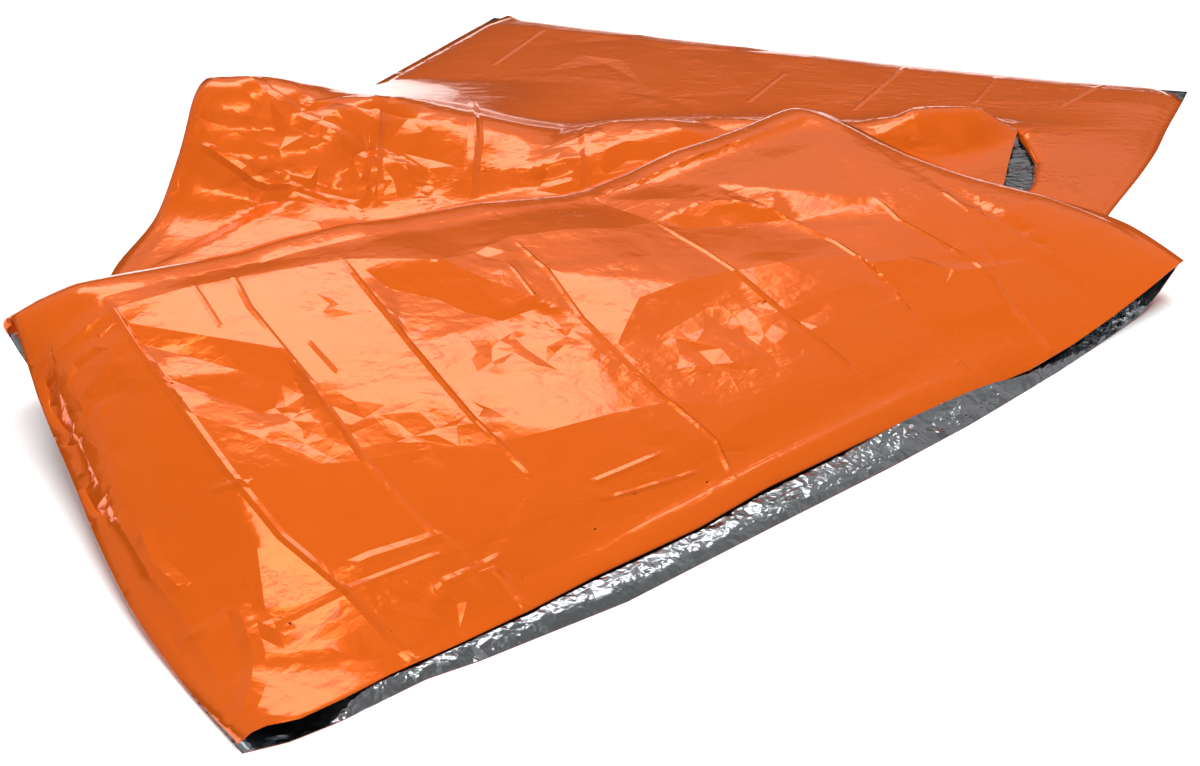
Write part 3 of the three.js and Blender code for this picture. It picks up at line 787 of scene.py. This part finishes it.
def crinkles(finish, flat, amount, slope):           # fine crumples of the film, as a bump
    height = sum(facetHeight(finish, flat, kind, slope) for kind in facetKinds)
    away = finish.cells(finish.warped(flat, ridges["warpScale"], ridges["warp"]), ridges["cell"])
    ridge = finish.clamped("SUBTRACT", 1, away * (ridges["cell"] / ridges["width"]))
    shown = finish.clamped("MULTIPLY_ADD", finish.noise(flat, ridges["shownScale"]),
                           ridges["gain"], ridges["shift"])
    height = height + ridge * shown * ridges["height"]
    return finish.node("ShaderNodeBump", None,
                       dict(Height=height * amount, Strength=1, Distance=1), "Normal")


orange = dict(
    deep=(.87, .13, .003, 1), colour=(.93, .15, .004, 1), cloudScale=6, metallic=.5,
    coat=.45, coatRoughness=.03, coatIor=1.5, roughness=.11, roughSpread=.1, roughScale=40,
    slope=.09, fineScale=9, fineSpread=1.6, fineLeast=-.4,
)


def orangeFilm():
    finish = Finish(bpy.data.materials.new("orange film"))
    flat = finish.node("ShaderNodeAttribute", dict(attribute_name="flat"), None, "Vector")
    colour = finish.blend(finish.noise(flat, orange["cloudScale"], 3), orange["deep"],
                          orange["colour"])
    rough = finish.noise(flat, orange["roughScale"], 3) * orange["roughSpread"] + orange["roughness"]
    fine = finish.noise(flat, orange["fineScale"]) * orange["fineSpread"] + orange["fineLeast"]
    body = finish.node("ShaderNodeBsdfPrincipled", None, {
        "Base Color": colour, "Roughness": rough, "Metallic": orange["metallic"],
        "Coat Weight": orange["coat"], "Coat Roughness": orange["coatRoughness"],
        "Coat IOR": orange["coatIor"], "Normal": crinkles(finish, flat, fine, orange["slope"])})
    finish.node("ShaderNodeOutputMaterial", None, dict(Surface=body))
    return finish.owner


foil = dict(
    dull=(.60, .62, .66, 1), colour=(.80, .82, .85, 1), cloudScale=18,
    roughness=.10, roughSpread=.12, roughScale=60, slope=.22, fineScale=8, fineSpread=.8,
    fineLeast=.4,
)


def silverFoil():
    finish = Finish(bpy.data.materials.new("silver foil"))
    flat = finish.node("ShaderNodeAttribute", dict(attribute_name="flat"), None, "Vector")
    colour = finish.blend(finish.noise(flat, foil["cloudScale"], 3), foil["dull"], foil["colour"])
    rough = finish.noise(flat, foil["roughScale"]) * foil["roughSpread"] + foil["roughness"]
    fine = finish.noise(flat, foil["fineScale"], 1) * foil["fineSpread"] + foil["fineLeast"]
    body = finish.node("ShaderNodeBsdfPrincipled", None, {
        "Base Color": colour, "Roughness": rough, "Metallic": 1,
        "Normal": crinkles(finish, flat, fine, foil["slope"])})
    finish.node("ShaderNodeOutputMaterial", None, dict(Surface=body))
    return finish.owner


filmMaterial, foilMaterial = orangeFilm(), silverFoil()
for piece, node in ((upperPiece, "upper_panel"), (lowerPiece, "lower_panel")):
    piece.data.materials.append(filmMaterial)
    piece.data.materials.append(foilMaterial)
    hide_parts(node)
    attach(piece, "root")
print("finishes made")

# floor and light
paleFloor = dict(colour=(.9, .9, .9, 1), roughness=.8, specular=.2)
floorSize = 8                                        # metres from the middle to each side
floorMesh = bpy.data.meshes.new("floor")
floorMesh.from_pydata([(-floorSize, -floorSize, 0), (floorSize, -floorSize, 0),
                       (floorSize, floorSize, 0), (-floorSize, floorSize, 0)], [], [(0, 1, 2, 3)])
floor = bpy.data.objects.new("floor", floorMesh)
bpy.context.scene.collection.objects.link(floor)
pale = Finish(bpy.data.materials.new("pale floor"))
paleBody = pale.node("ShaderNodeBsdfPrincipled", None, {
    "Base Color": paleFloor["colour"], "Roughness": paleFloor["roughness"],
    "Specular IOR Level": paleFloor["specular"]})
pale.node("ShaderNodeOutputMaterial", None, dict(Surface=paleBody))
floorMesh.materials.append(pale.owner)

lights = [                                           # metres and watts; mirrored: seen in the film
    dict(name="softbox", place=(1.75, 2.90, 3.07), aim=(-.25, -.25, .05), size=(2.8, 1.0), power=18,
         mirrored=True),
    dict(name="top panel", place=(-.04, .66, 3), aim=(-.64, -.22, .06), size=(.9, .4), power=3.6,
         mirrored=True),
    dict(name="fill", place=(-.2, -.8, 3.6), aim=(0, 0, 0), size=(2.2, 2.2), power=125,
         mirrored=False),
    dict(name="ceiling", place=(.3, .9, 5), aim=(.3, .9, 0), size=(7, 7), power=280,
         mirrored=False),
]
for light in lights:
    lamp = bpy.data.lights.new(light["name"], "AREA")
    lamp.shape, (lamp.size, lamp.size_y), lamp.energy = "RECTANGLE", light["size"], light["power"]
    holder = bpy.data.objects.new(light["name"], lamp)
    holder.location = light["place"]
    holder.visible_glossy = light["mirrored"]
    aim = Vector(light["aim"]) - Vector(light["place"])
    holder.rotation_euler = aim.to_track_quat("-Z", "Y").to_euler()
    bpy.context.scene.collection.objects.link(holder)

skyGreys = [(0, .03), (.27, .06), (.36, .28), (.5, .26), (.91, .12), (.97, .25)]    # height, grey
world = bpy.data.worlds.new("studio")
bpy.context.scene.world = world
studio = Finish(world)
direction = studio.node("ShaderNodeTexCoord", None, None, "Generated")
height = studio.node("ShaderNodeSeparateXYZ", None, dict(Vector=direction), "Z")
grey = studio.node("ShaderNodeValToRGB", dict(stops=[(up, (g, g, g, 1)) for up, g in skyGreys]),
                   dict(Fac=height), "Color")
background = studio.node("ShaderNodeBackground", None, dict(Color=grey, Strength=1))
studio.node("ShaderNodeOutputWorld", None, dict(Surface=background))
bpy.context.scene.view_settings.view_transform = "Standard"
print("floor and light made")

bpy.context.view_layer.update()
